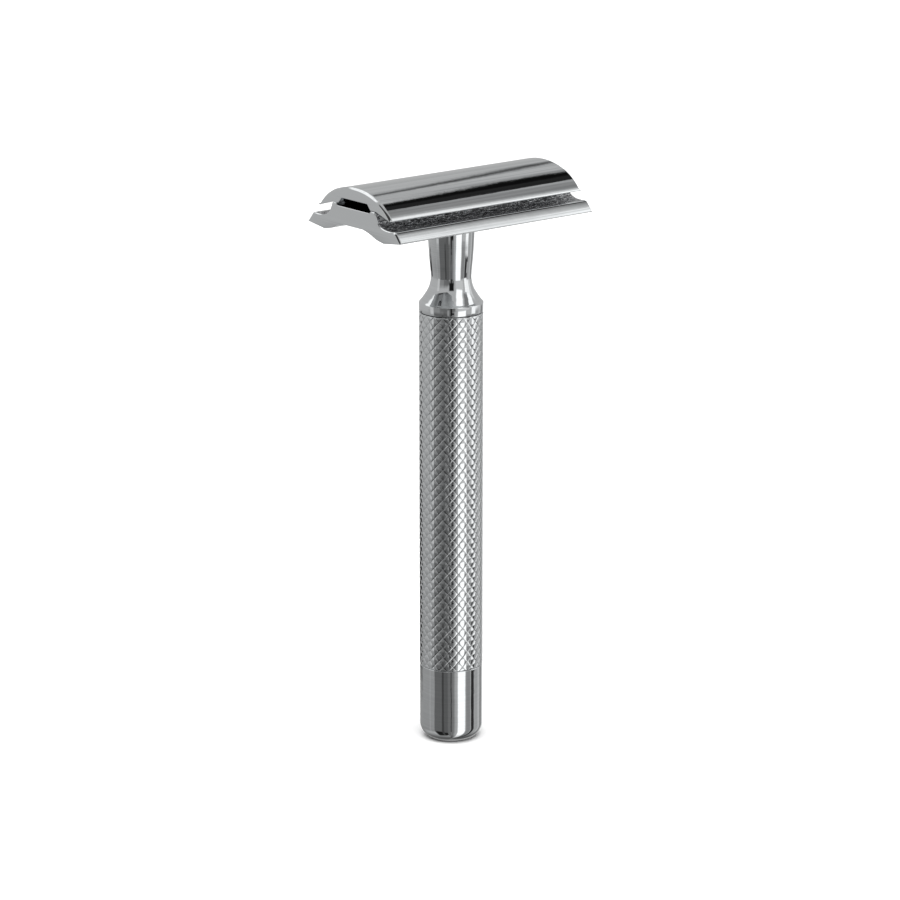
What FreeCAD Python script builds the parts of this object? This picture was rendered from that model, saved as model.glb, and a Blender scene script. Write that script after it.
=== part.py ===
"""Three-piece safety razor: cap, base plate and an unscrewing knurled handle.

Frame, in millimetres: the origin is the centre of the handle's flat foot, +Z runs up
the handle to the head, X is along the head and Y is across it, towards the two edges.
"""
import FreeCAD, Part
import math
import os

os.makedirs("parts", exist_ok=True)

# Levels up the handle (Z)
END_CAP_TOP = 13.95
SLEEVE_BOTTOM = 14.0
SLEEVE_TOP = 79.65
COLLAR_BOTTOM = 79.8
COLLAR_TOP = 81.45
NECK_TOP = 97.67

# Handle
KNURL_R = 5.74
SLEEVE_BORE_R = 4.4
SPIGOT_R = 4.38
SPIGOT_LENGTH = 8.0
COLLAR_R = 5.75
END_CAP_R = 5.69
FOOT_EDGE_R = 2.5
SEAM_CHAMFER = 0.1
SLEEVE_CHAMFER = 0.15
NECK_TOP_R = 4.25
NECK_CURVE = [  # (radius, Z) from the shoulder, through the waist, to the top
    (5.43, 81.75), (4.72, 82.75), (4.02, 84.0), (3.65, 85.5),
    (3.68, 86.9), (3.94, 89.8), (4.15, 93.5), (NECK_TOP_R, 97.45),
]

# Thread of the head, M5 x 0.8, as plain cylinders with a running clearance
STUD_R = 2.45
STUD_BORE_R = 2.5
PITCH = 0.8
UNSCREW_TURNS = 9
LAST_ENGAGEMENT = 0.3
INSERT_R = 3.15
INSERT_TOP = 97.35
INSERT_BOTTOM = 89.2
STUD_TIP = INSERT_TOP - UNSCREW_TURNS * PITCH - LAST_ENGAGEMENT
STUD_RELIEF_DEPTH = 1.2

# Tie rod that clamps neck, sleeve and end cap together, M4 as a plain cylinder
ROD_R = 1.95
ROD_BORE_R = 1.97
ROD_BOTTOM = 8.0
ROD_TOP = 78.4
ROD_END_GAP = 0.5

# Seals
WASHER_INNER_R = 4.42
WASHER_OUTER_R = 5.5
GROOVE_R = 3.55
GROOVE_WIDTH = 1.1
GROOVE_Z = 18.0
O_RING_SECTION_R = 0.42

# Head, heights above the lowest line of the guard bars
GUARD_Z = 96.15
PLATE_LENGTH = 43.63
END_BEVEL = 0.3
CAP_LENGTH = 43.2
CAP_END_BEVEL = 0.4
SEAT_R = 4.38
PLATE_STUD_HOLE_R = 2.65

# Half section of the base plate, as (|Y|, height) points from its underside to its top
PLATE_CENTRE = 1.54
PLATE_FLAT = 4.68
UNDERSIDE = [(2.67, PLATE_CENTRE), (4.63, 1.03), (6.2, 0.42), (8.3, 0.0)]
GUARD_NOSE = [(12.66, 0.57), (12.86, 0.62), (12.92, 0.8)]
GUARD_FRONT = [(12.92, 0.8), (12.35, 1.51), (11.74, 2.2)]
GUARD_CREST = [(11.74, 2.2), (11.41, 2.4), (10.98, 2.46)]
TROUGH = [(10.98, 2.46), (9.8, 2.37), (8.3, 2.52), (7.15, 3.02), (6.56, 3.8), (6.14, 4.6)]
LIP_ROUND = [(6.14, 4.6), (5.98, 4.93), (5.66, 5.06)]
LIP_INNER = [(5.66, 5.06), (4.83, 5.06), (4.4, PLATE_FLAT)]

# Half section of the cap: the crown's middle and side arcs, its edge and its underside
CAP_TOP = 8.36
CAP_RECESS = 6.1
CROWN_MIDDLE = [(0.0, CAP_TOP), (2.75, 8.129), (5.5, 7.416)]
CROWN_SIDE = [(5.5, 7.416), (8.013, 6.097), (10.05, 4.12)]
CAP_EDGE = [(10.05, 4.12), (10.01, 3.99), (9.87, 3.95)]
CAP_UNDERSIDE = [(9.87, 3.95), (6.07, 5.1), (4.5, 5.1), (3.6, CAP_RECESS), (0.0, CAP_RECESS)]

# Posts that place the blade and the base plate under the cap
POST_X = 16.0
POST_R = 1.9
POST_HOLE_R = 2.1
POST_TIP_Z = 98.3
STUD_FLANGE_R = 3.4
STUD_FLANGE = 0.7
ROOT_DEPTH = 1.6
TIP_CHAMFER = 0.35

TOLERANCE = 1e-6


def vec(x, y, z):
    """A point or direction."""
    return FreeCAD.Vector(x, y, z)


def cylinder(radius, low, high, x=0.0):
    """An upright cylinder between two heights."""
    return Part.makeCylinder(radius, high - low, vec(x, 0, low))


def tapered_tip(radius, low, high, x=0.0):
    """An upright pin whose lower end is chamfered."""
    tip = Part.makeCone(radius - TIP_CHAMFER, radius, TIP_CHAMFER, vec(x, 0, low))
    return tip.fuse(cylinder(radius, low + TIP_CHAMFER, high, x)).removeSplitter()


def lathe(edges):
    """Turn a closed outline, drawn in the XZ plane, round the handle's axis."""
    face = Part.Face(Part.Wire(edges))
    return face.revolve(vec(0, 0, 0), vec(0, 0, 1), 360)


def chain(points):
    """Straight edges through a list of points."""
    return [Part.makeLine(a, b) for a, b in zip(points, points[1:])]


def arc(start, middle, end):
    """A circular edge through three points."""
    return Part.Arc(start, middle, end).toShape()


def spline(points):
    """A smooth edge through a list of points."""
    curve = Part.BSplineCurve()
    curve.interpolate(points)
    return curve.toShape()


def head_points(section, length):
    """Points of a head section, at the -X end of a piece of that length."""
    return [vec(-length / 2, y, GUARD_Z + height) for y, height in section]


def extrude_section(half_edges, length):
    """Mirror half a head section across Y and run it along the head."""
    mirrored = [edge.mirror(vec(0, 0, 0), vec(0, 1, 0)) for edge in half_edges]
    wire = Part.Wire(Part.__sortEdges__(half_edges + mirrored))
    return Part.Face(wire).extrude(vec(length, 0, 0))


def bevel_ends(solid, length, size, is_chosen):
    """Bevel the edges of both end faces whose box passes a test."""
    edges = []
    for edge in solid.Edges:
        box = edge.BoundBox
        at_end = box.XLength < TOLERANCE and abs(abs(box.XMin) - length / 2) < TOLERANCE
        if at_end and is_chosen(box):
            edges.append(edge)
    return solid.makeChamfer(size, edges)


def make_end_cap():
    """Smooth lower end of the handle, with a spigot that plugs the sleeve."""
    z_spigot = END_CAP_TOP + SPIGOT_LENGTH
    corner = FOOT_EDGE_R * (1 - math.sqrt(0.5))
    foot = arc(
        vec(END_CAP_R - FOOT_EDGE_R, 0, 0),
        vec(END_CAP_R - corner, 0, corner),
        vec(END_CAP_R, 0, FOOT_EDGE_R),
    )
    outline = chain([
        vec(END_CAP_R, 0, FOOT_EDGE_R),
        vec(END_CAP_R, 0, END_CAP_TOP - SEAM_CHAMFER),
        vec(END_CAP_R - SEAM_CHAMFER, 0, END_CAP_TOP),
        vec(SPIGOT_R, 0, END_CAP_TOP),
        vec(SPIGOT_R, 0, z_spigot - TIP_CHAMFER),
        vec(SPIGOT_R - TIP_CHAMFER, 0, z_spigot),
        vec(0, 0, z_spigot),
        vec(0, 0, 0),
        vec(END_CAP_R - FOOT_EDGE_R, 0, 0),
    ])
    body = lathe([foot] + outline)
    ring = cylinder(END_CAP_R, GROOVE_Z - GROOVE_WIDTH / 2, GROOVE_Z + GROOVE_WIDTH / 2)
    groove = ring.cut(cylinder(GROOVE_R, GROOVE_Z - GROOVE_WIDTH, GROOVE_Z + GROOVE_WIDTH))
    rod_hole = cylinder(ROD_BORE_R, ROD_BOTTOM - ROD_END_GAP, z_spigot)
    return body.cut(groove).cut(rod_hole)


def make_lower_seal():
    """O-ring in the groove of the end cap's spigot."""
    return Part.makeTorus(GROOVE_R + O_RING_SECTION_R, O_RING_SECTION_R, vec(0, 0, GROOVE_Z))


def make_grip_sleeve():
    """Knurled tube of the grip; its outer radius is the knurl's crests."""
    outer = cylinder(KNURL_R, SLEEVE_BOTTOM, SLEEVE_TOP)
    rims = [edge for edge in outer.Edges if abs(edge.BoundBox.ZLength) < TOLERANCE]
    outer = outer.makeChamfer(SLEEVE_CHAMFER, rims)
    return outer.cut(cylinder(SLEEVE_BORE_R, SLEEVE_BOTTOM, SLEEVE_TOP))


def make_upper_seal():
    """Flat washer between the collar and the sleeve, set back as a thin dark line."""
    disc = cylinder(WASHER_OUTER_R, SLEEVE_TOP, COLLAR_BOTTOM)
    return disc.cut(cylinder(WASHER_INNER_R, SLEEVE_TOP, COLLAR_BOTTOM))


def make_neck():
    """Waisted neck with its collar, and a spigot down into the sleeve."""
    z_spigot = COLLAR_BOTTOM - SPIGOT_LENGTH
    curve = [vec(radius, 0, z) for radius, z in NECK_CURVE]
    rim = NECK_TOP - NECK_CURVE[-1][1]
    outline = chain([
        curve[-1],
        vec(NECK_TOP_R - rim, 0, NECK_TOP),
        vec(0, 0, NECK_TOP),
        vec(0, 0, z_spigot),
        vec(SPIGOT_R - TIP_CHAMFER, 0, z_spigot),
        vec(SPIGOT_R, 0, z_spigot + TIP_CHAMFER),
        vec(SPIGOT_R, 0, COLLAR_BOTTOM),
        vec(COLLAR_R - SEAM_CHAMFER, 0, COLLAR_BOTTOM),
        vec(COLLAR_R, 0, COLLAR_BOTTOM + SEAM_CHAMFER),
        vec(COLLAR_R, 0, COLLAR_TOP),
        vec(COLLAR_R - SEAM_CHAMFER, 0, COLLAR_TOP + SEAM_CHAMFER),
        curve[0],
    ])
    body = lathe([spline(curve)] + outline)
    body = body.cut(cylinder(INSERT_R, INSERT_BOTTOM, NECK_TOP))
    body = body.cut(cylinder(STUD_BORE_R, INSERT_BOTTOM - STUD_RELIEF_DEPTH, INSERT_BOTTOM))
    return body.cut(cylinder(ROD_BORE_R, z_spigot, ROD_TOP + ROD_END_GAP))


def make_thread_insert():
    """Threaded bush pressed into the top of the neck, which takes the cap's stud."""
    bush = cylinder(INSERT_R, INSERT_BOTTOM, INSERT_TOP)
    lead_in = Part.makeCone(
        STUD_BORE_R, STUD_BORE_R + TIP_CHAMFER, TIP_CHAMFER, vec(0, 0, INSERT_TOP - TIP_CHAMFER)
    )
    return bush.cut(cylinder(STUD_BORE_R, INSERT_BOTTOM, INSERT_TOP)).cut(lead_in)


def make_tie_rod():
    """Threaded rod through the sleeve that draws the neck and the end cap together."""
    rod = cylinder(ROD_R, ROD_BOTTOM, ROD_TOP)
    rims = [edge for edge in rod.Edges if abs(edge.BoundBox.ZLength) < TOLERANCE]
    return rod.makeChamfer(TIP_CHAMFER, rims)


def is_crown_edge(box):
    """Whether an end edge is on the cap's crown."""
    join_height = CROWN_SIDE[0][1]
    return box.ZMax > GUARD_Z + join_height - TOLERANCE


def is_guard_edge(box):
    """Whether an end edge is on the front or crest of a guard bar, or the trough behind it."""
    crest_y = GUARD_CREST[-1][0]
    low = GUARD_Z + GUARD_FRONT[0][1]
    return max(box.YMax, -box.YMin) > crest_y - TOLERANCE and box.ZMin > low - TOLERANCE


def make_base_plate():
    """Guard plate: a solid bar each side, a trough behind it, and lips for the blade."""
    arcs = [GUARD_NOSE, GUARD_FRONT, GUARD_CREST, LIP_ROUND]
    half = [arc(*head_points(points, PLATE_LENGTH)) for points in arcs]
    half += [spline(head_points(points, PLATE_LENGTH)) for points in (UNDERSIDE, TROUGH)]
    half += chain(head_points([(0, PLATE_CENTRE), UNDERSIDE[0]], PLATE_LENGTH))
    half += chain(head_points([UNDERSIDE[-1], GUARD_NOSE[0]], PLATE_LENGTH))
    half += chain(head_points(LIP_INNER + [(0, PLATE_FLAT)], PLATE_LENGTH))
    plate = extrude_section(half, PLATE_LENGTH)
    plate = bevel_ends(plate, PLATE_LENGTH, END_BEVEL, is_guard_edge)
    seat_z = GUARD_Z + PLATE_CENTRE
    top_z = GUARD_Z + PLATE_FLAT
    plate = plate.cut(cylinder(SEAT_R, GUARD_Z, seat_z))
    plate = plate.cut(cylinder(PLATE_STUD_HOLE_R, seat_z, top_z))
    for x in (-POST_X, POST_X):
        plate = plate.cut(cylinder(POST_HOLE_R, GUARD_Z, top_z, x))
    return plate


def make_cap():
    """Arched cap: lands that clamp the blade, and a recess for the stud and posts."""
    arcs = [CROWN_MIDDLE, CROWN_SIDE, CAP_EDGE]
    half = [arc(*head_points(points, CAP_LENGTH)) for points in arcs]
    half += chain(head_points(CAP_UNDERSIDE, CAP_LENGTH))
    cap = extrude_section(half, CAP_LENGTH)
    cap = bevel_ends(cap, CAP_LENGTH, CAP_END_BEVEL, is_crown_edge)
    recess_z = GUARD_Z + CAP_RECESS
    cap = cap.cut(cylinder(STUD_R, recess_z, recess_z + ROOT_DEPTH))
    for x in (-POST_X, POST_X):
        cap = cap.cut(cylinder(POST_R, recess_z, recess_z + ROOT_DEPTH, x))
    return cap


def make_cap_stud():
    """Threaded stud pressed into the cap, with a flange against the recess."""
    recess_z = GUARD_Z + CAP_RECESS
    shank = tapered_tip(STUD_R, STUD_TIP, recess_z + ROOT_DEPTH)
    flange = cylinder(STUD_FLANGE_R, recess_z - STUD_FLANGE, recess_z)
    return shank.fuse(flange).removeSplitter()


def make_locating_posts():
    """Two plain posts pressed into the cap, as one group."""
    root_z = GUARD_Z + CAP_RECESS + ROOT_DEPTH
    posts = [tapered_tip(POST_R, POST_TIP_Z, root_z, x) for x in (-POST_X, POST_X)]
    return Part.makeCompound(posts)


NODES = {
    "cap": make_cap,
    "cap_stud": make_cap_stud,
    "locating_posts": make_locating_posts,
    "base_plate": make_base_plate,
    "neck": make_neck,
    "thread_insert": make_thread_insert,
    "upper_seal": make_upper_seal,
    "grip_sleeve": make_grip_sleeve,
    "tie_rod": make_tie_rod,
    "lower_seal": make_lower_seal,
    "end_cap": make_end_cap,
}

for name, make in NODES.items():
    shape = make()
    shape.exportStep("parts/" + name + ".step")
    print(name, "valid", shape.isValid(), "solids", len(shape.Solids), "volume", round(shape.Volume, 1))
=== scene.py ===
"""Looks of a chrome-plated three-piece safety razor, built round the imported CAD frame.

Lengths are millimetres times MM. The handle stands on the origin, +Z is up, X runs along
the head and Y across it.
"""

import math

import bmesh
import bpy
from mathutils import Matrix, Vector, noise
from mathutils.geometry import tessellate_polygon


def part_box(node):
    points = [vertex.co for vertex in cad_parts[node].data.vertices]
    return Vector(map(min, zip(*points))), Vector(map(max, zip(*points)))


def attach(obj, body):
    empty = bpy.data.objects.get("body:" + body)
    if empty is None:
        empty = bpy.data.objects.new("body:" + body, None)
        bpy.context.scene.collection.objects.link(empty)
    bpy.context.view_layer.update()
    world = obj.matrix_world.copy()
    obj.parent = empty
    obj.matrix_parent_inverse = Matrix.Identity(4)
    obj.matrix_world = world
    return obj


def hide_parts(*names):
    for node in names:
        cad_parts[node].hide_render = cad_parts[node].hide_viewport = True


MM = 0.001

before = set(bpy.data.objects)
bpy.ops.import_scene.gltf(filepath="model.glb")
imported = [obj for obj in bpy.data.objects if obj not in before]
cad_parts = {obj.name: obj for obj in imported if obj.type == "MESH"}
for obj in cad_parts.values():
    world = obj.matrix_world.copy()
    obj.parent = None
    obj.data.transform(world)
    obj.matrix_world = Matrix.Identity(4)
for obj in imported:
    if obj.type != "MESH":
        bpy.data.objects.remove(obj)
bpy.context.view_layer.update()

# ---------------------------------------------------------------- sizes from the frame
PLATE_LOW, PLATE_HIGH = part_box("base_plate")
_, CAP_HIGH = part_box("cap")
NECK_LOW, NECK_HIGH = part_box("neck")
SLEEVE_LOW, SLEEVE_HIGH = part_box("grip_sleeve")
_, FOOT_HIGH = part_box("end_cap")
STUD_LOW, STUD_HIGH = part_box("cap_stud")
POST_LOW, POST_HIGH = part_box("locating_posts")
_, SEAL_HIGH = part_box("upper_seal")

GUARD_Z = PLATE_LOW.z
PLATE_HALF_LENGTH = PLATE_HIGH.x
CAP_HALF_LENGTH = CAP_HIGH.x

# ---------------------------------------------------------------- sizes of the head, in mm
# Outlines are (y, height) points on one side of the middle, with heights above GUARD_Z.
# The guard plate's runs from its underside out to the guard bar and back over the top.
SEAT_HEIGHT = 1.54
PLATE_FLAT = 4.68
UNDERSIDE = [(2.67, SEAT_HEIGHT), (4.63, 1.03), (6.2, 0.42), (8.3, 0.0)]
GUARD_NOSE = [(12.66, 0.57), (12.86, 0.62), (12.92, 0.8)]
GUARD_FRONT = [(12.92, 0.8), (12.35, 1.51), (11.74, 2.2)]
GUARD_CREST = [(11.74, 2.2), (11.41, 2.4), (10.98, 2.46)]
TROUGH = [(10.98, 2.46), (9.8, 2.37), (8.3, 2.52), (7.15, 3.02), (6.56, 3.8), (6.14, 4.6)]
LIP_ROUND = [(6.14, 4.6), (5.98, 4.93), (5.66, 5.06)]
LIP_INNER = [(5.66, 5.06), (4.83, 5.06), (4.4, PLATE_FLAT), (0, PLATE_FLAT)]
SECTION_CORNER = 0.12
SEAT_R = 4.38
STUD_HOLE_R = 2.65
POST_HOLE_R = 2.1
DRILL_FROM, DRILL_TO = -1, 6

# Cap: an edge, then a crown made of a tight side arc and a flat middle arc
CAP_RECESS = 6.1
CAP_UNDERSIDE = [(0, CAP_RECESS), (3.6, CAP_RECESS), (4.5, 5.1), (6.07, 5.1), (9.87, 3.95)]
CAP_EDGE = [(9.87, 3.95), (10.01, 3.99)]
CROWN_MIDDLE_R = 16.5
CROWN_SIDE_R = 9.92
CROWN_JOIN_Y = 5.5

# Bevels round the ends of the head's pieces, and where the plate's wider ones lie
PLAIN_BEVEL = 0.06
FRONT_BEVEL = 0.3
TROUGH_BEVEL = 0.16
CROWN_BEVEL = 0.4
FRONT_FROM_Y, FRONT_FROM_Z = 10.9, 0.79
TROUGH_FROM_Y, TROUGH_FROM_Z = 5.6, 2.0

# Where the plate's surface is cast, and where it is satin
CAST_Y = (5.9, 10.9)
CAST_Z = (2.3, 4.9)
CAST_STEEPEST = 0.3
SATIN_TO_Y = 12.6
SATIN_TO_Z = 1.6
SATIN_STEEPEST = -0.5

# Stud and posts
PITCH = 0.8
THREAD_R = 2.45
THREAD_DEPTH = 0.44
THREAD_TOP = 3.9
THREAD_FLANK = 0.42
THREAD_FADE = 0.4
THREAD_CHAMFER = 0.45
THREAD_STEPS = 12
THREAD_SEGMENTS = 72
FLANGE_BORE_R = 2.3
FLANGE_UP, FLANGE_DOWN = 0.3, 0.7
POST_R = 1.9
POST_CHAMFER = 0.35
POST_CORNER = 0.2
POST_ROOT = 1.2

# ---------------------------------------------------------------- sizes of the handle, in mm
# Outlines are (radius, height) points, with heights above the foot.
SHOULDER = (5.43, 81.75)
WAIST = [SHOULDER, (4.72, 82.75), (4.02, 84.0), (3.65, 85.5), (3.68, 86.9), (3.94, 89.8),
         (4.15, 93.5), (4.25, 97.45)]
NECK_RIM_R = 4.03
COLLAR_TOP = 81.4
COLLAR_EDGE_IN = 0.18
COLLAR_EDGE_TOP = 81.6
COLLAR_CORNER = 0.08
INSERT_R = 3.15
INSERT_BOTTOM = 89.2
STUD_RELIEF_R = 2.5
STUD_RELIEF_BOTTOM = 88.0
SPIGOT_R = 4.38
SPIGOT_TIP_R = 4.03
SPIGOT_CHAMFER = 0.35
SEAM_CHAMFER = 0.08
LOWER_SEAM = 13.95
FOOT_EDGE_R = 2.5
END_CAP_CORNER = 0.05
SLEEVE_BORE_R = 4.4
SLEEVE_CHAMFER = 0.12

# Knurl: grooves of each hand round the handle, rise between them, and where the mesh
# lines of one cell lie. UNEVEN_STEPS are steps through the noise: from groove to groove,
# from cell to cell along a groove, and from one hand to the other.
KNURL_STARTS = 20
KNURL_PITCH = 1.85
CELL_STOPS = [0.0, 0.02, 0.04, 0.065, 0.09, 0.22, 0.4, 0.6, 0.78, 0.91, 0.935, 0.96, 0.98]
GROOVE_DEPTH = 0.022
GROOVE_HALF_WIDTH = 0.09
GROOVE_UNEVEN = 0.6
UNEVEN_STEPS = (3.7, 0.9, 5.3)
PILLOW = 0.028


# ---------------------------------------------------------------- outline helpers
SAME_POINT = 1e-6
MOST_CUT = 0.45


def arc(start, middle, end, steps):
    """Points on the circle through three points, from the first to the last."""
    (ax, ay), (bx, by), (cx, cy) = start, middle, end
    d = 2 * (ax * (by - cy) + bx * (cy - ay) + cx * (ay - by))
    a2, b2, c2 = ax * ax + ay * ay, bx * bx + by * by, cx * cx + cy * cy
    ux = (a2 * (by - cy) + b2 * (cy - ay) + c2 * (ay - by)) / d
    uy = (a2 * (cx - bx) + b2 * (ax - cx) + c2 * (bx - ax)) / d
    radius = math.hypot(ax - ux, ay - uy)
    first = math.atan2(ay - uy, ax - ux)
    via = (math.atan2(by - uy, bx - ux) - first) % math.tau
    sweep = (math.atan2(cy - uy, cx - ux) - first) % math.tau
    if via > sweep:
        sweep -= math.tau
    angles = [first + sweep * i / steps for i in range(steps + 1)]
    return [(ux + radius * math.cos(t), uy + radius * math.sin(t)) for t in angles]


def smooth(points, steps):
    """Points on a Catmull-Rom curve through a list of points."""
    padded = [points[0]] + list(points) + [points[-1]]
    made = []
    for p0, p1, p2, p3 in zip(padded, padded[1:], padded[2:], padded[3:]):
        for i in range(steps):
            t = i / steps
            made.append(tuple(
                0.5 * (2 * b + (c - a) * t + (2 * a - 5 * b + 4 * c - d) * t * t
                       + (3 * b - 3 * c + d - a) * t ** 3)
                for a, b, c, d in zip(p0, p1, p2, p3)
            ))
    return made + [points[-1]]


def join(*runs):
    """One list of points from several runs, without the points that meet."""
    made = []
    for run in runs:
        for point in run:
            if not made or math.dist(point, made[-1]) > SAME_POINT:
                made.append(point)
    return made


def round_corners(points, radius, steps=3):
    """The same open outline with each inner corner rounded off."""
    made = [points[0]]
    for before, corner, after in zip(points, points[1:], points[2:]):
        to_before, to_after = math.dist(before, corner), math.dist(after, corner)
        back = min(radius, MOST_CUT * to_before, MOST_CUT * to_after)
        into = [c + (b - c) * back / to_before for b, c in zip(before, corner)]
        out = [c + (a - c) * back / to_after for a, c in zip(after, corner)]
        for i in range(steps + 1):
            t = i / steps
            made.append(tuple(
                (1 - t) ** 2 * p + 2 * t * (1 - t) * c + t * t * q
                for p, c, q in zip(into, corner, out)
            ))
    return made + [points[-1]]


# ---------------------------------------------------------------- mesh helpers
SHARP = math.radians(50)
THREAD_SHARP = math.radians(40)
ON_AXIS = 1e-9


def to_object(name, verts, faces, materials):
    """A smooth-shaded mesh object."""
    mesh = bpy.data.meshes.new(name)
    mesh.from_pydata(verts, [], faces)
    mesh.validate()
    for material in materials:
        mesh.materials.append(material)
    mesh.shade_smooth()
    obj = bpy.data.objects.new(name, mesh)
    bpy.context.scene.collection.objects.link(obj)
    return obj


def tidy_normals(obj):
    """Point the faces outwards, and let large flat faces keep their own shading."""
    bm = bmesh.new()
    bm.from_mesh(obj.data)
    bmesh.ops.recalc_face_normals(bm, faces=bm.faces)
    bm.to_mesh(obj.data)
    bm.free()
    obj.data.shade_smooth()
    obj.data.set_sharp_from_angle(angle=SHARP)
    modifier = obj.modifiers.new("flat_faces_stay_flat", "WEIGHTED_NORMAL")
    modifier.weight = 60
    modifier.keep_sharp = True


def lathe(name, outline, materials, segments=128, centre=(0.0, 0.0)):
    """Turn a closed outline of (radius, height) points, in mm, round an upright axis."""
    verts, faces = [], []
    for radius, z in outline:
        for i in range(segments):
            angle = math.tau * i / segments
            x = centre[0] + radius * math.cos(angle)
            y = centre[1] + radius * math.sin(angle)
            verts.append((x * MM, y * MM, z * MM))
    rings = len(outline)
    for a in range(rings):
        b = (a + 1) % rings
        for i in range(segments):
            j = (i + 1) % segments
            faces.append((a * segments + i, a * segments + j, b * segments + j, b * segments + i))
    obj = to_object(name, verts, faces, materials)
    bm = bmesh.new()
    bm.from_mesh(obj.data)
    bmesh.ops.remove_doubles(bm, verts=bm.verts, dist=1e-7)
    bmesh.ops.dissolve_degenerate(bm, edges=bm.edges, dist=1e-8)
    bm.to_mesh(obj.data)
    bm.free()
    tidy_normals(obj)
    return obj


# Rings of a bevelled end: distance back from the end and inset, as shares of the bevel
END_RINGS = [(1.3, 0.0), (1.05, 0.03), (0.88, 0.14), (0.14, 0.88), (0.03, 1.05), (0.0, 1.3)]


def section_bar(name, half_outline, bevels, half_length, materials):
    """Run a head section along X, with bevelled ends.

    The outline is one side's points from the middle of the underside round to the middle
    of the top, and bevels gives each point its bevel.
    """
    near = [(-y, z) for y, z in reversed(half_outline)]
    loop = half_outline + [p for p in near if abs(p[0]) > ON_AXIS]
    near_bevels = [b for b, p in zip(reversed(bevels), near) if abs(p[0]) > ON_AXIS]
    sizes = list(bevels) + near_bevels
    count = len(loop)
    inward = []
    for i in range(count):
        before, after = Vector(loop[i - 1]), Vector(loop[(i + 1) % count])
        here = Vector(loop[i])
        a, b = (here - before).normalized(), (after - here).normalized()
        along = (a + b).normalized()
        shrink = max(0.5, along.dot(a))
        inward.append(Vector((-along.y, along.x)) / shrink)
    rings = [(-1, d, s) for d, s in reversed(END_RINGS)] + [(1, d, s) for d, s in END_RINGS]
    verts, faces = [], []
    for side, back, inset in rings:
        for i, (y, z) in enumerate(loop):
            size = sizes[i]
            x = side * (half_length / MM - back * size)
            verts.append((
                x * MM,
                (y + inward[i].x * inset * size) * MM,
                GUARD_Z + (z + inward[i].y * inset * size) * MM,
            ))
    for ring in range(len(rings) - 1):
        for i in range(count):
            j = (i + 1) % count
            faces.append((ring * count + i, ring * count + j,
                          (ring + 1) * count + j, (ring + 1) * count + i))
    for first in (0, (len(rings) - 1) * count):
        corners = [Vector(vert) for vert in verts[first:first + count]]
        for triangle in tessellate_polygon([corners]):
            faces.append(tuple(first + i for i in triangle))
    return to_object(name, verts, faces, materials)


def drill(obj, holes, low_z, high_z):
    """Cut upright round holes, given as (x, radius) in mm, through an object."""
    for x, radius in holes:
        bpy.ops.mesh.primitive_cylinder_add(
            vertices=96, radius=radius * MM, depth=high_z - low_z,
            location=(x * MM, 0, (low_z + high_z) / 2),
        )
        cutter = bpy.context.object
        modifier = obj.modifiers.new("hole", "BOOLEAN")
        modifier.operation = "DIFFERENCE"
        modifier.solver = "EXACT"
        modifier.object = cutter
        apply_modifier(obj, modifier)
        bpy.data.objects.remove(cutter)


def apply_modifier(obj, modifier):
    """Make a modifier's result the object's own mesh."""
    with bpy.context.temp_override(object=obj, active_object=obj):
        bpy.ops.object.modifier_apply(modifier=modifier.name)


# ---------------------------------------------------------------- node helpers
class Nodes:
    """A small wrapper that adds and links nodes in one tree."""

    def __init__(self, tree):
        self.tree = tree

    def add(self, kind, settings=None, **inputs):
        """A node of a kind, with its settings, and its inputs by name."""
        node = self.tree.nodes.new(kind)
        for key, value in (settings or {}).items():
            setattr(node, key, value)
        for key, value in inputs.items():
            self.set(node, key.replace("_", " "), value)
        return node

    def set(self, node, socket, value):
        """Link an input to another node's output, or give it a fixed value."""
        target = node.inputs[socket]
        if isinstance(value, bpy.types.NodeSocket):
            self.tree.links.new(value, target)
        else:
            target.default_value = value

    def math(self, operation, *values):
        """The output of a Math node."""
        node = self.add("ShaderNodeMath", {"operation": operation})
        for i, value in enumerate(values):
            self.set(node, i, value)
        return node.outputs[0]

    def map_range(self, value, low, high, to_low, to_high, smooth_step=False):
        """A value moved from one range to another, and held at its ends."""
        kind = "SMOOTHSTEP" if smooth_step else "LINEAR"
        node = self.add("ShaderNodeMapRange", {"interpolation_type": kind})
        for i, item in enumerate((value, low, high, to_low, to_high)):
            self.set(node, i, item)
        return node.outputs[0]

    def ramp(self, value, stops):
        """A value turned into colours by (place, colour) stops."""
        node = self.add("ShaderNodeValToRGB", Fac=value)
        elements = node.color_ramp.elements
        while len(elements) < len(stops):
            elements.new(0.5)
        for element, (place, colour) in zip(elements, stops):
            element.position = place
            element.color = (*colour, 1)
        return node.outputs[0]

    def noise(self, vector, scale, detail, roughness):
        """Noise from 0 to 1 at a place."""
        node = self.add("ShaderNodeTexNoise", Vector=vector, Scale=scale, Detail=detail,
                        Roughness=roughness)
        return node.outputs["Fac"]

    def stretched(self, vector, scale):
        """A place with each of its axes scaled."""
        node = self.add("ShaderNodeMapping", Vector=vector, Scale=scale)
        return node.outputs[0]


# ---------------------------------------------------------------- materials
# Scales of the marks and grains, per metre
RING_MARKS = (60.0, 60.0, 4000.0)
LENGTH_MARKS = (14.0, 2800.0, 2800.0)
CAST_GRAIN = (1300.0, 2600.0, 2600.0)
SMEAR_SCALE = 420.0
WAVE_SCALE = 260.0
RUBBER_GRAIN = 5200.0

# Painted shade round the foot's rim, darker towards the bottom, by height in mm, and painted
# shade down in the knurl's grooves, by mm below the crests
FOOT_SHADE_LOW, FOOT_SHADE_HIGH = 1.1, 1.9
FOOT_SHADE_DARKEST = 0.20
GROOVE_LOW, GROOVE_HIGH = 0.07, 0.045
GROOVE_PAINTED_SHADE = 0.70
GROOVE_DULL = 0.05


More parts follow.
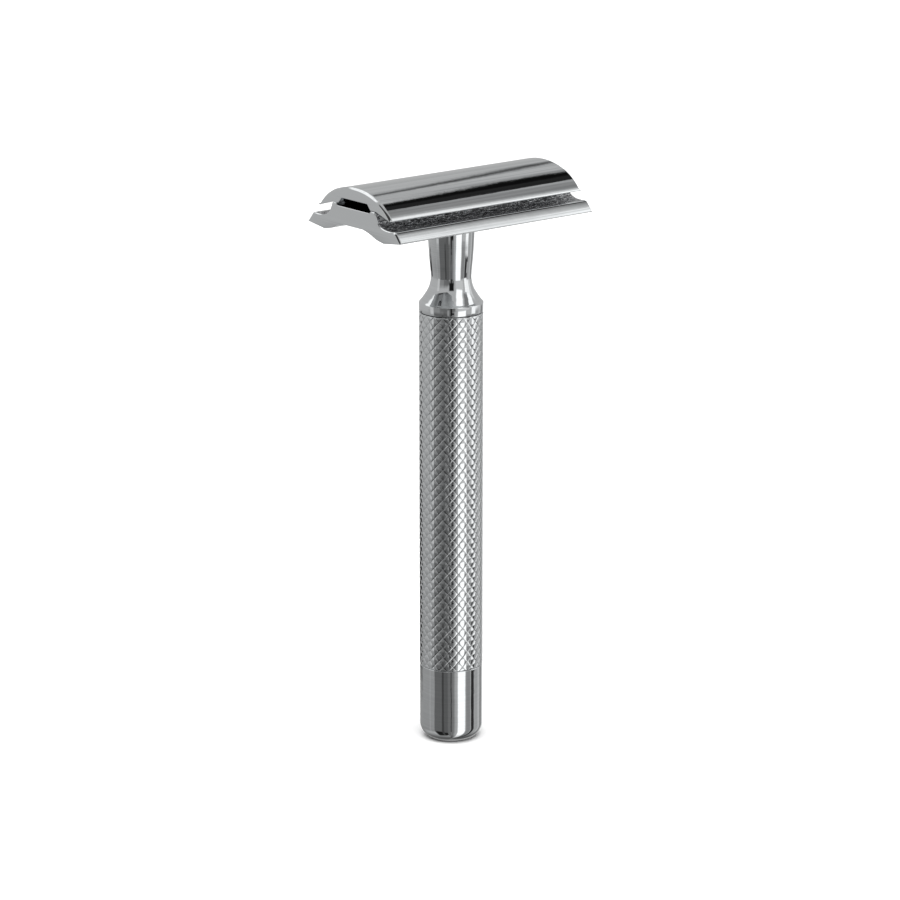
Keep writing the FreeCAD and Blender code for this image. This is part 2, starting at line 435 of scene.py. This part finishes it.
def new_material(name):
    """A material with an empty node tree, its node helper and its shader."""
    material = bpy.data.materials.new(name)
    material.use_nodes = True
    material.node_tree.nodes.clear()
    nodes = Nodes(material.node_tree)
    shader = nodes.add("ShaderNodeBsdfPrincipled")
    output = nodes.add("ShaderNodeOutputMaterial")
    nodes.set(output, "Surface", shader.outputs[0])
    return material, nodes, shader


def metal(name, dark, light, roughness, marks, mark_depth, wave_depth):
    """Plated or turned metal: streaky tint, uneven gloss, fine marks along one direction.

    marks is the mapping scale, large across the marks and small along them. Marks that
    run along X fade out on faces that face along X.
    """
    material, nodes, shader = new_material(name)
    place = nodes.add("ShaderNodeTexCoord").outputs["Object"]
    fine = nodes.noise(nodes.stretched(place, marks), 1.0, 6.0, 0.65)
    facing = nodes.add("ShaderNodeTexCoord").outputs["Normal"]
    along_x = nodes.add("ShaderNodeSeparateXYZ", Vector=facing).outputs["X"]
    side_on = nodes.map_range(nodes.math("ABSOLUTE", along_x), 0.5, 0.9, 1.0, 0.0)
    if marks[0] < marks[1]:
        fine = nodes.math("MULTIPLY_ADD", nodes.math("SUBTRACT", fine, 0.5), side_on, 0.5)
    tint = nodes.ramp(fine, [(0.36, dark), (0.64, light)])
    smear = nodes.noise(place, SMEAR_SCALE, 3.0, 0.7)
    gloss = nodes.math("MULTIPLY", fine, smear)
    gloss = nodes.map_range(gloss, 0.12, 0.42, roughness[0], roughness[1])
    wave = nodes.noise(place, WAVE_SCALE, 2.0, 0.4)
    waves = nodes.add("ShaderNodeBump", Height=wave, Strength=1.0, Distance=wave_depth)
    bump = nodes.add("ShaderNodeBump", Height=fine, Strength=1.0, Distance=mark_depth,
                     Normal=waves.outputs[0])
    shader.inputs["Metallic"].default_value = 1.0
    nodes.set(shader, "Base Color", tint)
    nodes.set(shader, "Roughness", gloss)
    nodes.set(shader, "Normal", bump.outputs[0])
    return material, nodes, shader


def paint_shade_on_tint(nodes, shader, share):
    """Paint shade into a shader's tint: multiply it by a value from 0 black to 1 unchanged."""
    tint = shader.inputs["Base Color"].links[0].from_socket
    grey = nodes.ramp(share, [(0.0, (0.0, 0.0, 0.0)), (1.0, (1.0, 1.0, 1.0))])
    mix = nodes.add("ShaderNodeMix", {"data_type": "RGBA", "blend_type": "MULTIPLY"})
    mix.inputs["Factor"].default_value = 1.0
    nodes.tree.links.new(tint, mix.inputs["A"])
    nodes.tree.links.new(grey, mix.inputs["B"])
    nodes.set(shader, "Base Color", mix.outputs["Result"])


def make_turned_chrome():
    """Chrome over a turned surface, with painted shade darkening the foot's edge."""
    material, nodes, shader = metal("turned_chrome", (0.77, 0.79, 0.80), (0.83, 0.85, 0.86),
                                    (0.02, 0.05), RING_MARKS, 0.5e-6, 40e-6)
    place = nodes.add("ShaderNodeTexCoord").outputs["Object"]
    height = nodes.add("ShaderNodeSeparateXYZ", Vector=place).outputs["Z"]
    # Painted shade: the tint darkens towards the bottom of the foot's rim
    painted_foot_shade = nodes.map_range(height, FOOT_SHADE_LOW * MM, FOOT_SHADE_HIGH * MM, FOOT_SHADE_DARKEST, 1.0)
    paint_shade_on_tint(nodes, shader, painted_foot_shade)
    return material


def make_cast_chrome():
    """Plate over a surface the polishing wheel can't reach: pitted and duller."""
    material, nodes, shader = new_material("cast_chrome")
    place = nodes.add("ShaderNodeTexCoord").outputs["Object"]
    streaks = nodes.noise(nodes.stretched(place, CAST_GRAIN), 1.0, 3.0, 0.6)
    tint = nodes.ramp(streaks, [(0.38, (0.20, 0.20, 0.21)), (0.62, (0.93, 0.94, 0.95))])
    nodes.set(shader, "Base Color", tint)
    nodes.set(shader, "Roughness", nodes.map_range(streaks, 0.3, 0.7, 0.03, 0.12))
    bump = nodes.add("ShaderNodeBump", Height=streaks, Strength=1.0, Distance=600e-6)
    nodes.set(shader, "Normal", bump.outputs[0])
    shader.inputs["Metallic"].default_value = 1.0
    return material


def make_knurled_chrome():
    """Chrome over the knurl, with painted shade down in the grooves, which are duller too."""
    material, nodes, shader = metal("knurled_chrome", (0.77, 0.79, 0.80), (0.84, 0.86, 0.87),
                                    (0.02, 0.08), RING_MARKS, 0.3e-6, 20e-6)
    place = nodes.add("ShaderNodeTexCoord").outputs["Object"]
    parts = nodes.add("ShaderNodeSeparateXYZ", Vector=place).outputs
    squares = nodes.math("ADD", nodes.math("MULTIPLY", parts["X"], parts["X"]),
                         nodes.math("MULTIPLY", parts["Y"], parts["Y"]))
    radius = nodes.math("SQRT", squares)
    crest = SLEEVE_HIGH.x
    height = nodes.map_range(radius, crest - GROOVE_LOW * MM, crest - GROOVE_HIGH * MM, 0.0, 1.0)
    # Painted shade: the tint darkens down in the grooves
    paint_shade_on_tint(nodes, shader, nodes.map_range(height, 0.0, 1.0, GROOVE_PAINTED_SHADE, 1.0))
    gloss = shader.inputs["Roughness"].links[0].from_socket
    dull = nodes.map_range(height, 0.0, 1.0, GROOVE_DULL, 0.0)
    nodes.set(shader, "Roughness", nodes.math("ADD", gloss, dull))
    return material


def make_rubber():
    """Matt black seal rubber with a fine grain."""
    material, nodes, shader = new_material("seal_rubber")
    place = nodes.add("ShaderNodeTexCoord").outputs["Object"]
    grain = nodes.noise(place, RUBBER_GRAIN, 4.0, 0.6)
    nodes.set(shader, "Base Color",
              nodes.ramp(grain, [(0.3, (0.012, 0.012, 0.012)), (0.7, (0.03, 0.03, 0.03))]))
    nodes.set(shader, "Roughness", nodes.map_range(grain, 0.3, 0.7, 0.55, 0.8))
    bump = nodes.add("ShaderNodeBump", Height=grain, Strength=1.0, Distance=12e-6)
    nodes.set(shader, "Normal", bump.outputs[0])
    return material


polished, _, _ = metal("polished_chrome", (0.66, 0.68, 0.69), (0.92, 0.94, 0.95),
                       (0.01, 0.035), LENGTH_MARKS, 6e-6, 12e-6)
satin, _, _ = metal("satin_chrome", (0.84, 0.86, 0.87), (0.92, 0.94, 0.95),
                    (0.42, 0.60), LENGTH_MARKS, 4e-6, 12e-6)
steel, _, _ = metal("turned_steel", (0.50, 0.50, 0.51), (0.62, 0.62, 0.63),
                    (0.16, 0.30), RING_MARKS, 2e-6, 2e-6)
brass, _, _ = metal("turned_brass", (0.66, 0.50, 0.24), (0.80, 0.63, 0.33),
                    (0.16, 0.30), RING_MARKS, 2e-6, 2e-6)
turned = make_turned_chrome()
cast = make_cast_chrome()
knurled = make_knurled_chrome()
rubber = make_rubber()


def finish_piece(obj, body, slot, *nodes):
    """Ride on a body and stand for CAD nodes; the slot argument is not used."""
    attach(obj, body)
    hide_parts(*nodes)


# ---------------------------------------------------------------- head
def plate_outline():
    """One side of the guard plate's section."""
    return join(
        [(0, SEAT_HEIGHT)], smooth(UNDERSIDE, 8),
        arc(*GUARD_NOSE, 6), arc(*GUARD_FRONT, 14), arc(*GUARD_CREST, 12),
        smooth(TROUGH, 8), arc(*LIP_ROUND, 6), round_corners(LIP_INNER, SECTION_CORNER),
    )


def plate_bevel(y, z):
    """The end bevel at a point of the plate's outline: wider round the bar and its trough."""
    if y > FRONT_FROM_Y and z > FRONT_FROM_Z:
        return FRONT_BEVEL
    if y > TROUGH_FROM_Y and z > TROUGH_FROM_Z:
        return TROUGH_BEVEL
    return PLAIN_BEVEL


def mark_faces(obj, slot, is_chosen):
    """Give one of its materials to the faces of a head piece that a test picks."""
    for face in obj.data.polygons:
        y = abs(face.center.y) / MM
        z = (face.center.z - GUARD_Z) / MM
        if is_chosen(y, z, face.normal):
            face.material_index = slot


def in_trough(y, z, normal):
    """Whether a face lies in the trough, which stays as cast under its plating."""
    inside = CAST_Y[0] < y < CAST_Y[1] and CAST_Z[0] < z < CAST_Z[1]
    return inside and abs(normal.x) < CAST_STEEPEST


def on_underside(y, z, normal):
    """Whether a face lies on the plate's satin underside."""
    return y < SATIN_TO_Y and z < SATIN_TO_Z and normal.z < SATIN_STEEPEST


def make_base_plate():
    """Guard plate with its bars, troughs, blade lips, holes and the handle's seat."""
    outline = plate_outline()
    bevels = [plate_bevel(y, z) for y, z in outline]
    materials = [polished, cast, satin]
    plate = section_bar("base_plate_body", outline, bevels, PLATE_HALF_LENGTH, materials)
    post_x = POST_HIGH.x / MM - POST_R
    low = GUARD_Z + DRILL_FROM * MM
    drill(plate, [(0, SEAT_R)], low, GUARD_Z + SEAT_HEIGHT * MM)
    holes = [(0, STUD_HOLE_R), (-post_x, POST_HOLE_R), (post_x, POST_HOLE_R)]
    drill(plate, holes, low, GUARD_Z + DRILL_TO * MM)
    mark_faces(plate, materials.index(cast), in_trough)
    mark_faces(plate, materials.index(satin), on_underside)
    tidy_normals(plate)
    finish_piece(plate, "guard_plate", "chrome", "base_plate")


def crown_outline():
    """One side of the cap's crown, from its edge to its middle."""
    side_steps, middle_steps = 30, 24
    tip_y = CAP_HIGH.y / MM
    top = (CAP_HIGH.z - GUARD_Z) / MM
    turn = math.asin(CROWN_JOIN_Y / CROWN_MIDDLE_R)
    centre_y = CROWN_JOIN_Y - CROWN_SIDE_R * math.sin(turn)
    centre_z = top - CROWN_MIDDLE_R + (CROWN_MIDDLE_R - CROWN_SIDE_R) * math.cos(turn)
    widest = math.asin((tip_y - centre_y) / CROWN_SIDE_R)
    points = []
    for i in range(side_steps):
        angle = widest + (turn - widest) * i / side_steps
        points.append((centre_y + CROWN_SIDE_R * math.sin(angle),
                       centre_z + CROWN_SIDE_R * math.cos(angle)))
    for i in range(middle_steps + 1):
        angle = turn * (1 - i / middle_steps)
        points.append((CROWN_MIDDLE_R * math.sin(angle),
                       top - CROWN_MIDDLE_R + CROWN_MIDDLE_R * math.cos(angle)))
    return points


def make_cap():
    """Arched cap with its blade lands and the recess under it."""
    crown = crown_outline()
    edge = arc(*CAP_EDGE, crown[0], 5)
    outline = join(round_corners(CAP_UNDERSIDE, SECTION_CORNER), edge, crown)
    above_edge = len(crown) - 1
    bevels = [PLAIN_BEVEL] * (len(outline) - above_edge) + [CROWN_BEVEL] * above_edge
    cap = section_bar("cap_body", outline, bevels, CAP_HALF_LENGTH, [polished])
    tidy_normals(cap)
    finish_piece(cap, "cap_assembly", "chrome", "cap")


def thread_radius(z, turn, low):
    """The stud's radius at a height and a share of a turn: a helix that fades out on top."""
    thread_top = GUARD_Z / MM + THREAD_TOP
    phase = (z / PITCH - turn) % 1.0
    valley = max(0.0, 1.0 - abs(phase - 0.5) / THREAD_FLANK)
    depth = THREAD_DEPTH * min(1.0, valley)
    depth *= min(1.0, max(0.0, (thread_top - z) / THREAD_FADE))
    chamfer = max(0.0, THREAD_CHAMFER - (z - low))
    return min(THREAD_R - depth, THREAD_R - chamfer)


def make_stud():
    """Threaded stud: a real right-hand helix below the base plate, plain above."""
    low, high = STUD_LOW.z / MM, STUD_HIGH.z / MM
    rows = int((high - low) / PITCH * THREAD_STEPS)
    verts, faces = [], []
    for row in range(rows + 1):
        z = low + (high - low) * row / rows
        for i in range(THREAD_SEGMENTS):
            turn = i / THREAD_SEGMENTS
            radius = thread_radius(z, turn, low)
            angle = math.tau * turn
            verts.append((radius * math.cos(angle) * MM, radius * math.sin(angle) * MM, z * MM))
    for row in range(rows):
        for i in range(THREAD_SEGMENTS):
            j = (i + 1) % THREAD_SEGMENTS
            a, b = row * THREAD_SEGMENTS, (row + 1) * THREAD_SEGMENTS
            faces.append((a + i, a + j, b + j, b + i))
    faces.append(tuple(reversed(range(THREAD_SEGMENTS))))
    faces.append(tuple(rows * THREAD_SEGMENTS + i for i in range(THREAD_SEGMENTS)))
    stud = to_object("cap_stud_thread", verts, faces, [steel])
    stud.data.set_sharp_from_angle(angle=THREAD_SHARP)
    finish_piece(stud, "cap_assembly", "steel", "cap_stud")


def make_stud_flange():
    """The stud's flange, let into the roof of the cap's recess."""
    recess = GUARD_Z / MM + CAP_RECESS
    top, bottom = recess + FLANGE_UP, recess - FLANGE_DOWN
    flange_r = STUD_HIGH.x / MM
    outline = round_corners([
        (FLANGE_BORE_R, top), (FLANGE_BORE_R, bottom), (flange_r, bottom), (flange_r, top),
        (FLANGE_BORE_R, top),
    ], SECTION_CORNER)
    flange = lathe("cap_stud_flange", outline[:-1], [steel], THREAD_SEGMENTS)
    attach(flange, "cap_assembly")


def make_posts():
    """Two locating posts with rounded tips."""
    low, high = POST_LOW.z / MM, POST_HIGH.z / MM - POST_ROOT
    outline = round_corners([
        (0.0, low), (POST_R - POST_CHAMFER, low), (POST_R, low + POST_CHAMFER),
        (POST_R, high), (0.0, high),
    ], POST_CORNER, 4)
    for side, x in (("left", POST_LOW.x / MM + POST_R), ("right", POST_HIGH.x / MM - POST_R)):
        post = lathe("locating_post_" + side, outline, [steel], 64, (x, 0.0))
        finish_piece(post, "cap_assembly", "steel", "locating_posts")


# ---------------------------------------------------------------- handle
def make_neck():
    """Waisted neck with its collar, its bore and the spigot that plugs the sleeve."""
    top, bottom = NECK_HIGH.z / MM, NECK_LOW.z / MM
    collar_r = NECK_HIGH.x / MM
    seam = SEAL_HIGH.z / MM
    collar = round_corners([
        (SPIGOT_R, seam), (collar_r - SEAM_CHAMFER, seam), (collar_r, seam + SEAM_CHAMFER),
        (collar_r, COLLAR_TOP), (collar_r - COLLAR_EDGE_IN, COLLAR_EDGE_TOP), SHOULDER,
    ], COLLAR_CORNER)
    bore = [(NECK_RIM_R, top), (INSERT_R, top), (INSERT_R, INSERT_BOTTOM),
            (STUD_RELIEF_R, INSERT_BOTTOM), (STUD_RELIEF_R, STUD_RELIEF_BOTTOM),
            (0.0, STUD_RELIEF_BOTTOM)]
    spigot = [(0.0, bottom), (SPIGOT_TIP_R, bottom), (SPIGOT_R, bottom + SPIGOT_CHAMFER),
              (SPIGOT_R, seam)]
    outline = join(collar, smooth(WAIST, 8), bore, spigot)
    neck = lathe("neck_body", outline[:-1], [turned])
    finish_piece(neck, "handle", "chrome", "neck")


def make_end_cap():
    """Smooth lower end with its rounded foot and the spigot above."""
    top = FOOT_HIGH.z / MM
    radius = FOOT_HIGH.x / MM
    corner = FOOT_EDGE_R * (1 - math.sqrt(0.5))
    foot = arc((radius - FOOT_EDGE_R, 0.0), (radius - corner, corner), (radius, FOOT_EDGE_R), 14)
    side = round_corners([
        (radius, FOOT_EDGE_R), (radius, LOWER_SEAM - SEAM_CHAMFER),
        (radius - SEAM_CHAMFER, LOWER_SEAM), (SPIGOT_R, LOWER_SEAM),
    ], END_CAP_CORNER)
    spigot = [(SPIGOT_R, top - SPIGOT_CHAMFER), (SPIGOT_TIP_R, top), (0.0, top), (0.0, 0.0)]
    end_cap = lathe("end_cap_body", join(foot, side, spigot), [turned])
    finish_piece(end_cap, "handle", "chrome", "end_cap")


def knurl_drop(a, b):
    """How far the knurl lies below its crests, from a point's place between grooves.

    Each groove has an unevenness of its own, which drifts along its length.
    """
    per_groove, per_cell, per_family = UNEVEN_STEPS
    drops = []
    pillow = 0.0
    for family, t in enumerate((a, b)):
        distance = abs(t - round(t))
        share = min(1.0, distance / GROOVE_HALF_WIDTH)
        place = (round(t) % KNURL_STARTS * per_groove, (a - b) * per_cell, family * per_family)
        uneven = 1 + GROOVE_UNEVEN * noise.noise(place)
        drops.append(GROOVE_DEPTH * uneven * (1 - share) ** 2)
        pillow += PILLOW * (1 - 2 * distance) ** 2
    return max(drops) + pillow


def make_grip():
    """Knurled tube: the mesh follows both families of grooves, so that they stay crisp."""
    low, high = SLEEVE_LOW.z / MM, SLEEVE_HIGH.z / MM
    crest_r = SLEEVE_HIGH.x / MM
    per_cell = len(CELL_STOPS)
    wrap = KNURL_STARTS * per_cell
    index, verts, faces = {}, [], []

    def vertex(i, j):
        turns, i = divmod(i, wrap)
        j -= turns * wrap
        if (i, j) not in index:
            a = i // per_cell + CELL_STOPS[i % per_cell]
            b = j // per_cell + CELL_STOPS[j % per_cell]
            angle = math.tau * (a + b) / 2 / KNURL_STARTS
            z = (a - b) / 2 * KNURL_PITCH
            radius = crest_r - knurl_drop(a, b)
            index[i, j] = len(verts)
            verts.append((radius * math.cos(angle) * MM, radius * math.sin(angle) * MM, z * MM))
        return index[i, j]

    for i in range(wrap):
        cell = i // per_cell
        first = int(math.floor(cell - 2 * high / KNURL_PITCH)) - 1
        last = int(math.ceil(cell - 2 * low / KNURL_PITCH)) + 2
        for j in range(first * per_cell, last * per_cell):
            faces.append((vertex(i, j), vertex(i + 1, j), vertex(i + 1, j + 1), vertex(i, j + 1)))
    grip = to_object("knurled_grip", verts, faces, [knurled, turned])
    close_tube(grip, low * MM, high * MM, crest_r * MM)
    grip.data.set_sharp_from_angle(angle=SHARP)
    finish_piece(grip, "handle", "knurled_chrome", "grip_sleeve")


def close_tube(obj, low, high, crest_r):
    """Trim the knurled skin to length, and add its end chamfers and its bore."""
    chamfer = SLEEVE_CHAMFER * MM
    bore_r = SLEEVE_BORE_R * MM
    bm = bmesh.new()
    bm.from_mesh(obj.data)
    for z, up in ((low + chamfer, -1), (high - chamfer, 1)):
        bmesh.ops.bisect_plane(bm, geom=bm.verts[:] + bm.edges[:] + bm.faces[:], dist=1e-9,
                               plane_co=(0, 0, z), plane_no=(0, 0, up), clear_outer=True)
    loops = []
    for end, level in ((low, low + chamfer), (high, high - chamfer)):
        rim = [e for e in bm.edges if e.is_boundary
               and all(abs(v.co.z - level) < 1e-6 for v in e.verts)]
        for radius in (crest_r - chamfer, bore_r):
            made = bmesh.ops.extrude_edge_only(bm, edges=rim)["geom"]
            rim = [e for e in made if isinstance(e, bmesh.types.BMEdge) and e.is_boundary]
            for vert in {v for e in rim for v in e.verts}:
                angle = math.atan2(vert.co.y, vert.co.x)
                vert.co = (radius * math.cos(angle), radius * math.sin(angle), end)
        loops += rim
    bmesh.ops.bridge_loops(bm, edges=loops)
    bmesh.ops.recalc_face_normals(bm, faces=bm.faces)
    bm.to_mesh(obj.data)
    bm.free()
    obj.data.shade_smooth()


def dress_cad_nodes():
    """Give the CAD nodes that stay their own materials."""
    kept = {"upper_seal": rubber, "lower_seal": rubber, "thread_insert": brass, "tie_rod": steel}
    for node, material in kept.items():
        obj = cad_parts[node]
        obj.data.materials.clear()
        obj.data.materials.append(material)


make_base_plate()
make_cap()
make_stud()
make_stud_flange()
make_posts()
make_neck()
make_end_cap()
make_grip()
dress_cad_nodes()


# ---------------------------------------------------------------- studio
FLOOR_RADIUS = 6.0
FLOOR_DROP = 0.02 * MM


def make_floor():
    """A plain pale floor, which the chrome doesn't mirror."""
    bpy.ops.mesh.primitive_circle_add(vertices=96, radius=FLOOR_RADIUS, fill_type="NGON",
                                      location=(0, 0, -FLOOR_DROP))
    floor = bpy.context.object
    floor.name = "floor"
    material, nodes, shader = new_material("pale_floor")
    place = nodes.add("ShaderNodeTexCoord").outputs["Object"]
    mottle = nodes.noise(place, 3.0, 2.0, 0.5)
    nodes.set(shader, "Base Color",
              nodes.ramp(mottle, [(0.0, (0.90, 0.90, 0.90)), (1.0, (0.93, 0.93, 0.93))]))
    shader.inputs["Roughness"].default_value = 1.0
    shader.inputs["Specular IOR Level"].default_value = 0.0
    floor.data.materials.append(material)
    floor.visible_glossy = False


CHROME_SHINE = 0.80


def brightness(tone):
    """The light a card gives off to look that tone, from 0 black to 1 white, in chrome."""
    linear = ((tone + 0.055) / 1.055) ** 2.4
    return linear / CHROME_SHINE


def add_card(nodes, azimuth, elevation, base, card):
    """Lay one soft-edged card over the light so far.

    Angles are in degrees: azimuth 0 is towards -Y and 90 towards +X. A card that leans
    moves along in azimuth by that many degrees for each degree of elevation.
    """
    left, right, low, high, side_edge, end_edge, lean, tone = card
    centre, level = (left + right) / 2, (low + high) / 2
    if lean:
        slip = nodes.math("MULTIPLY", nodes.math("SUBTRACT", elevation, level), lean)
        azimuth = nodes.math("SUBTRACT", azimuth, slip)
    turn = nodes.math("WRAP", nodes.math("SUBTRACT", azimuth, centre), 180.0, -180.0)
    across = nodes.math("ABSOLUTE", turn)
    along = nodes.math("ABSOLUTE", nodes.math("SUBTRACT", elevation, level))
    reach, rise = (right - left) / 2, (high - low) / 2
    side, end = side_edge / 2, end_edge / 2
    in_width = nodes.map_range(across, reach - side, reach + side, 1.0, 0.0, smooth_step=True)
    in_height = nodes.map_range(along, rise - end, rise + end, 1.0, 0.0, smooth_step=True)
    mask = nodes.math("MULTIPLY", in_width, in_height)
    step = nodes.math("SUBTRACT", brightness(tone), base)
    return nodes.math("MULTIPLY_ADD", mask, step, base)


# Cards and softboxes round the razor, seen only in its chrome. Each row is: azimuth from
# and to, elevation from and to, softness of the sides and of the ends, lean, and tone.
# Later cards lie over earlier ones.
CARDS = [
    # left wall, its dark far end, and the slits in it
    (-205, -104, -34, -17, 2, 14, 0, 0.51),
    (-230, -169, -19.3, -15.2, 4, 1.5, 0, 0.17),
    (-118, -106, -17, 22, 3, 3, 0, 0.72),
    (-127, -122, -60, -11, 2, 2, 0, 0.58),
    # dark wall behind the camera, brighter towards its top
    (-104, -76, -17, 12, 6, 18, 0, 0.49),
    (-80, -58, -17, 12, 8, 18, 0, 0.39),
    (-104, -58, -95, -14, 3, 6, 0, 0.36),
    (-100, -28, -56, -26, 8, 8, 0, 0.10),
    (-74, -66, -95, -18, 2, 2, 0, 0.24),
    (-66, -24, -17, 8, 8, 12, 0, 0.38),
    (-66, -40, -32, -14, 3, 5, 0, 0.33),
    (-42, -20, -32, -18, 3, 2, 0, 0.38),
    (-52, -44, -95, -18, 2, 2, 0, 0.39),
    (-53, -46, -18, -9, 2, 1, 0, 0.54),
    (-110, -10, -95, -60, 10, 8, 0, 0.62),
    # the main softbox and its dark frame
    (-44, 22, -95, -11, 10, 2, 0, 0.42),
    (-27, 18, -95, -11, 12, 2, 0, 0.62),
    (-15, 14, -95, -11, 5, 2, 0, 1.0),
    (-42, -36, -19, 6, 3, 1, 0, 0.10),
    (-38, -29, -17.4, -14.2, 2, 0.6, 0, 0.08),
    (-41, -38, -24, -18, 2, 2, 0, 0.14),
    # higher panels, from the front round to the back on the left
    (-15, 28, -11, 17, 6, 3, 0, 0.73),
    (-12, 22, 19, 62, 8, 8, 0, 1.0),
    (-51, -26, 0, 26, 8, 7, 0, 0.08),
    (-112, -60, 32, 52, 5, 4, 0, 0.22),
    (-190, -122, 32, 58, 8, 5, 0, 0.95),
    # right wall with its slits, and the white panel above it
    (20, 36, -95, -11, 4, 2, 0, 0.49),
    (18, 38, -17.5, -11, 4, 2, 0, 0.66),
    (55, 75, -95, -11, 4, 2, 0, 0.59),
    (75, 88, -95, -11, 4, 2, 0, 0.67),
    (90, 104, -95, -11, 4, 2, 0, 0.47),
    (115, 150, -95, -2, 8, 8, 0, 0.84),
    (38, 56, -17.5, 25, 4, 4, 0, 0.96),
    (48, 68, -11, 32, 5, 8, 0, 0.93),
    (30, 52, 32, 60, 6, 8, 0, 0.45),
    (49, 68, 28, 48, 3, 4, 0, 0.98),
    (39, 53, -95, -18, 3, 2, 0, 0.16),
    (68, 82, -11, 25, 6, 6, 0, 0.78),
    (53, 60, -19.2, -17.6, 2, 0.6, 0, 0.30),
    # overhead: the black bar over the head, and the seams each side of it
    (62, 84, 42, 58, 14, 4, 0, 0.50),
    (84, 105, 44, 60, 1.5, 4, -1.7, 0.13),
    (97, 105, 44, 60, 3, 4, -1.7, 0.05),
    (118, 121, 40, 48, 2, 3, 0, 0.54),
    (132, 133.5, 22, 42, 1.5, 4, -0.31, 0.25),
]
BASE_TONE = 0.645
BACKDROP = 1.0


def make_world():
    """White studio whose cards are seen only in the chrome."""
    world = bpy.data.worlds.new("studio")
    bpy.context.scene.world = world
    world.use_nodes = True
    world.node_tree.nodes.clear()
    nodes = Nodes(world.node_tree)
    direction = nodes.add("ShaderNodeTexCoord").outputs["Generated"]
    parts = nodes.add("ShaderNodeSeparateXYZ", Vector=direction).outputs
    backward = nodes.math("MULTIPLY", parts["Y"], -1.0)
    azimuth = nodes.math("DEGREES", nodes.math("ARCTAN2", parts["X"], backward))
    elevation = nodes.math("DEGREES", nodes.math("ARCSINE", parts["Z"]))
    light = nodes.math("ADD", brightness(BASE_TONE), 0.0)
    for card in CARDS:
        light = add_card(nodes, azimuth, elevation, light, card)
    colour = nodes.add("ShaderNodeCombineColor", Red=light, Green=light, Blue=light).outputs[0]
    cards = nodes.add("ShaderNodeBackground", Color=colour)
    backdrop = nodes.add("ShaderNodeBackground", Color=(BACKDROP, BACKDROP, BACKDROP, 1))
    seen = nodes.add("ShaderNodeLightPath").outputs["Is Camera Ray"]
    mix = nodes.add("ShaderNodeMixShader", Fac=seen)
    nodes.tree.links.new(cards.outputs[0], mix.inputs[1])
    nodes.tree.links.new(backdrop.outputs[0], mix.inputs[2])
    output = nodes.add("ShaderNodeOutputWorld")
    nodes.set(output, "Surface", mix.outputs[0])


SUN_ENERGY = 3.6
SUN_SPREAD = math.radians(70)
SUN_TILT = (math.radians(12), math.radians(-10), 0)


def make_sun():
    """Broad soft light from above, for the floor and its shadow only."""
    light = bpy.data.lights.new("overhead", "SUN")
    light.energy = SUN_ENERGY
    light.angle = SUN_SPREAD
    lamp = bpy.data.objects.new("overhead", light)
    lamp.rotation_euler = SUN_TILT
    lamp.visible_glossy = False
    bpy.context.scene.collection.objects.link(lamp)


CAMERA_AZIMUTH = math.radians(-39.37)
CAMERA_ELEVATION = math.radians(15.67)
CAMERA_DISTANCE = 617.57 * MM
CAMERA_AIM_Z = 54.05 * MM
CAMERA_SIDE = 0.22 * MM
CAMERA_LENS = 137.84


def make_camera():
    """A long lens from the left front, a little above the razor."""
    data = bpy.data.cameras.new("camera")
    data.lens = CAMERA_LENS
    data.sensor_width = 36.0
    data.clip_start = 0.01
    data.clip_end = 50.0
    camera = bpy.data.objects.new("camera", data)
    back = Vector((
        math.sin(CAMERA_AZIMUTH) * math.cos(CAMERA_ELEVATION),
        -math.cos(CAMERA_AZIMUTH) * math.cos(CAMERA_ELEVATION),
        math.sin(CAMERA_ELEVATION),
    ))
    right = Vector((math.cos(CAMERA_AZIMUTH), math.sin(CAMERA_AZIMUTH), 0.0))
    aim = Vector((0.0, 0.0, CAMERA_AIM_Z)) - right * CAMERA_SIDE
    camera.location = aim + back * CAMERA_DISTANCE
    camera.rotation_mode = "QUATERNION"
    camera.rotation_quaternion = (-back).to_track_quat("-Z", "Y")
    bpy.context.scene.collection.objects.link(camera)
    bpy.context.scene.camera = camera


make_floor()
make_world()
make_sun()
make_camera()
bpy.context.scene.view_settings.view_transform = "Standard"
